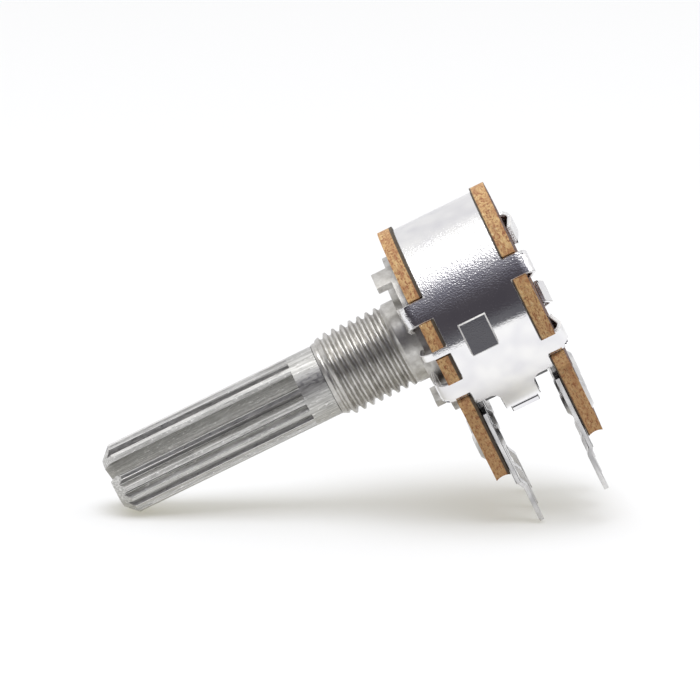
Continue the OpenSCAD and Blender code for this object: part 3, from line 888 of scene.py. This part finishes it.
@dataclass
class Studio:
    """A white table and soft light, with the potentiometer leaning on its shaft tip and its front pins."""

    tip_bevel: float = 0.95
    table_side: float = 900.0
    table_white: float = 0.74
    shadow_glow: tuple[float, float, float] = (0.355, 0.34, 0.275)
    shadow_paper: tuple[float, float, float] = (0.54, 0.555, 0.61)
    dusk: tuple[float, float, float] = (0.10, 0.10, 0.11)
    dusk_x: tuple[float, float] = (74.0, 79.0)
    lamps: tuple[Softbox, ...] = (
        Softbox("softbox_top", up=600.0, along=-40.0, across=90.0, side=440.0, watts=2.2),
        Softbox("softbox_left", up=190.0, along=260.0, across=60.0, side=160.0, watts=0.14))
    shade_under: tuple[float, float] = (0.72, 0.86)
    shade_near: tuple[float, float] = (0.02, 0.20)
    shade_fades: tuple[float, float] = (0.46, 0.74)
    shade_low: str = "#4C494F"
    shade_high: str = "#9999A6"
    back_wall_at: tuple[float, float] = (-0.60, -0.42)
    back_wall: str = "#F1F1F3"
    camera_tilt: float = 27.13
    elevation: float = 13.59
    azimuth: float = -4.54
    roll: float = 1.375
    distance: float = 600.0
    aim_right: float = -4.98
    aim_up: float = -0.97
    px_per_mm: float = 12.4057
    clip_m: tuple[float, float] = (0.01, 20.0)

    def table_up(self) -> tuple[Vector, float]:
        """Finds the table's plane from what rests on it.

        Returns:
            The plane's upward normal, and its height along that normal in metres.
        """
        pin_low, pin_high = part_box("front_terminal_2")
        shaft_low, shaft_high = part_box("shaft")
        pin = Vector((pin_low.y, pin_high.z))
        tip = Vector((shaft_low.y, shaft_high.z - self.tip_bevel * MM))
        tilt = math.atan2(tip.x - pin.x, tip.y - pin.y)
        up = Vector((0.0, math.cos(tilt), -math.sin(tilt)))
        return up, up.dot(Vector((0.0, pin.x, pin.y)))

    def build(self) -> None:
        """Makes the table, the light and the camera."""
        up, height = self.table_up()
        self.table(up, height)
        self.light(up)
        self.world(up)
        self.camera()

    def table(self, up: Vector, height: float) -> None:
        """Lays the white table.

        Args:
            up: Its normal.
            height: Its height along the normal, in metres.
        """
        half = self.table_side * MM / 2
        across = Vector((1.0, 0.0, 0.0))
        along = up.cross(across)
        mesh = bpy.data.meshes.new("table")
        corners = [up * height + across * half * i + along * half * j
                   for i, j in ((-1, -1), (1, -1), (1, 1), (-1, 1))]
        mesh.from_pydata(corners, [], [(0, 1, 2, 3)])
        if mesh.polygons[0].normal.dot(up) < 0:
            mesh.flip_normals()
        table = bpy.data.objects.new("table", mesh)
        bpy.context.scene.collection.objects.link(table)
        mesh.materials.append(self.table_material())

    def table_material(self) -> bpy.types.Material:
        """White paper that glows to the camera, keeps the shadow, is dark far off in metal, clear below."""
        made = bpy.data.materials.new("paper_white_sweep")
        made.use_nodes = True
        tree = made.node_tree
        tree.nodes.clear()
        paper = add(tree, "ShaderNodeBsdfDiffuse", {"Color": (self.table_white,) * 3 + (1.0,)})
        place = add(tree, "ShaderNodeTexCoord").outputs["Object"]
        x = add(tree, "ShaderNodeSeparateXYZ", {0: place}).outputs["X"]
        ray = add(tree, "ShaderNodeLightPath")
        far = spread(tree, x, self.dusk_x[0] * MM, self.dusk_x[1] * MM)
        far_in_metal = add(tree, "ShaderNodeMath", {
            0: far, 1: ray.outputs["Is Glossy Ray"]}, operation="MULTIPLY").outputs[0]
        dusk = add(tree, "ShaderNodeBsdfDiffuse", {"Color": self.dusk + (1.0,)})
        white = add(tree, "ShaderNodeBsdfDiffuse", {"Color": self.shadow_paper + (1.0,)})
        glow = add(tree, "ShaderNodeEmission", {"Color": self.shadow_glow + (1.0,), "Strength": 1.0})
        seen = add(tree, "ShaderNodeAddShader", {0: white.outputs[0], 1: glow.outputs[0]})
        looked_at = add(tree, "ShaderNodeMath", {
            0: ray.outputs["Is Camera Ray"], 1: ray.outputs["Is Glossy Ray"]},
            operation="MAXIMUM").outputs[0]
        lit = add(tree, "ShaderNodeMixShader", {0: looked_at, 1: paper.outputs[0], 2: seen.outputs[0]})
        front = add(tree, "ShaderNodeMixShader", {0: far_in_metal, 1: lit.outputs[0], 2: dusk.outputs[0]})
        clear = add(tree, "ShaderNodeBsdfTransparent")
        back = add(tree, "ShaderNodeNewGeometry").outputs["Backfacing"]
        both = add(tree, "ShaderNodeMixShader", {0: back, 1: front.outputs[0], 2: clear.outputs[0]})
        add(tree, "ShaderNodeOutputMaterial", {"Surface": both.outputs[0]})
        return made

    def light(self, up: Vector) -> None:
        """Hangs the soft lamps.

        Args:
            up: The table's normal.
        """
        across = Vector((1.0, 0.0, 0.0))
        along = up.cross(across)
        for box in self.lamps:
            self.lamp(box, up * box.up + along * box.along + across * box.across)

    def lamp(self, box: Softbox, place: Vector) -> None:
        """Hangs one square lamp that faces the object.

        Args:
            box: The lamp's measures.
            place: Its place in millimetres.
        """
        data = bpy.data.lights.new(box.name, "AREA")
        data.shape = "SQUARE"
        data.size = box.side * MM
        data.energy = box.watts
        lamp = bpy.data.objects.new(box.name, data)
        lamp.location = place * MM
        lamp.rotation_mode = "QUATERNION"
        lamp.rotation_quaternion = (-place).to_track_quat("-Z", "Y")
        bpy.context.scene.collection.objects.link(lamp)

    def world(self, up: Vector) -> None:
        """Surrounds the object with a white room that is dark on the photographer's side.

        Args:
            up: The table's normal.
        """
        world = bpy.data.worlds.new("studio_room")
        bpy.context.scene.world = world
        world.use_nodes = True
        tree = world.node_tree
        tree.nodes.clear()
        ray_dir = add(tree, "ShaderNodeTexCoord").outputs["Generated"]
        dots = [add(tree, "ShaderNodeVectorMath", {0: ray_dir, 1: axis}, operation="DOT_PRODUCT")
                for axis in (tuple(up), (1.0, 0.0, 0.0))]
        height, side = (dot.outputs["Value"] for dot in dots)
        under = spread(tree, height, *self.shade_under, 1.0, 0.0)
        near = spread(tree, side, *self.shade_near)
        dark = add(tree, "ShaderNodeMath", {0: under, 1: near}, operation="MULTIPLY").outputs[0]
        back = spread(tree, side, *self.back_wall_at, 1.0, 0.0)
        wall = blend_colour(tree, back, WHITE, linear(self.back_wall))
        fading = spread(tree, height, *self.shade_fades)
        shade = blend_colour(tree, fading, linear(self.shade_low), linear(self.shade_high))
        room = blend_colour(tree, dark, wall, shade)
        ray = add(tree, "ShaderNodeLightPath").outputs["Is Camera Ray"]
        seen = blend_colour(tree, ray, room, WHITE)
        glow = add(tree, "ShaderNodeBackground", {"Color": seen, "Strength": 1.0})
        add(tree, "ShaderNodeOutputWorld", {"Surface": glow.outputs[0]})

    def camera(self) -> None:
        """Places the camera at the photograph's viewing angle, with its upright tilted from Y about X."""
        tilt = math.radians(self.camera_tilt)
        up = Vector((0.0, math.cos(tilt), -math.sin(tilt)))
        side = Vector((1.0, 0.0, 0.0))
        along = side.cross(up)
        turn, lift, roll = (math.radians(a) for a in (self.azimuth, self.elevation, self.roll))
        back = (side * math.cos(turn) - along * math.sin(turn)) * math.cos(lift) + up * math.sin(lift)
        right = up.cross(back).normalized()
        top = back.cross(right)
        right, top = (right * math.cos(roll) + top * math.sin(roll),
                      top * math.cos(roll) - right * math.sin(roll))
        place = (back * self.distance + right * self.aim_right + top * self.aim_up) * MM
        data = bpy.data.cameras.new("photo_camera")
        data.sensor_width = SENSOR_MM
        data.lens = self.px_per_mm * self.distance * data.sensor_width / PHOTO_SIDE_PX
        data.clip_start, data.clip_end = self.clip_m
        camera = bpy.data.objects.new("photo_camera", data)
        turned = Matrix((right, top, back)).transposed().to_4x4()
        camera.matrix_world = Matrix.Translation(place) @ turned
        bpy.context.scene.collection.objects.link(camera)
        bpy.context.scene.camera = camera


def main() -> None:
    """Builds the potentiometer, its table, light and camera."""
    logging.basicConfig(level=logging.INFO, format="%(name)s: %(message)s")
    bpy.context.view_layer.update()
    Potentiometer().build()
    Studio().build()
    bpy.context.scene.view_settings.view_transform = "Standard"


if __name__ == "__main__":
    main()
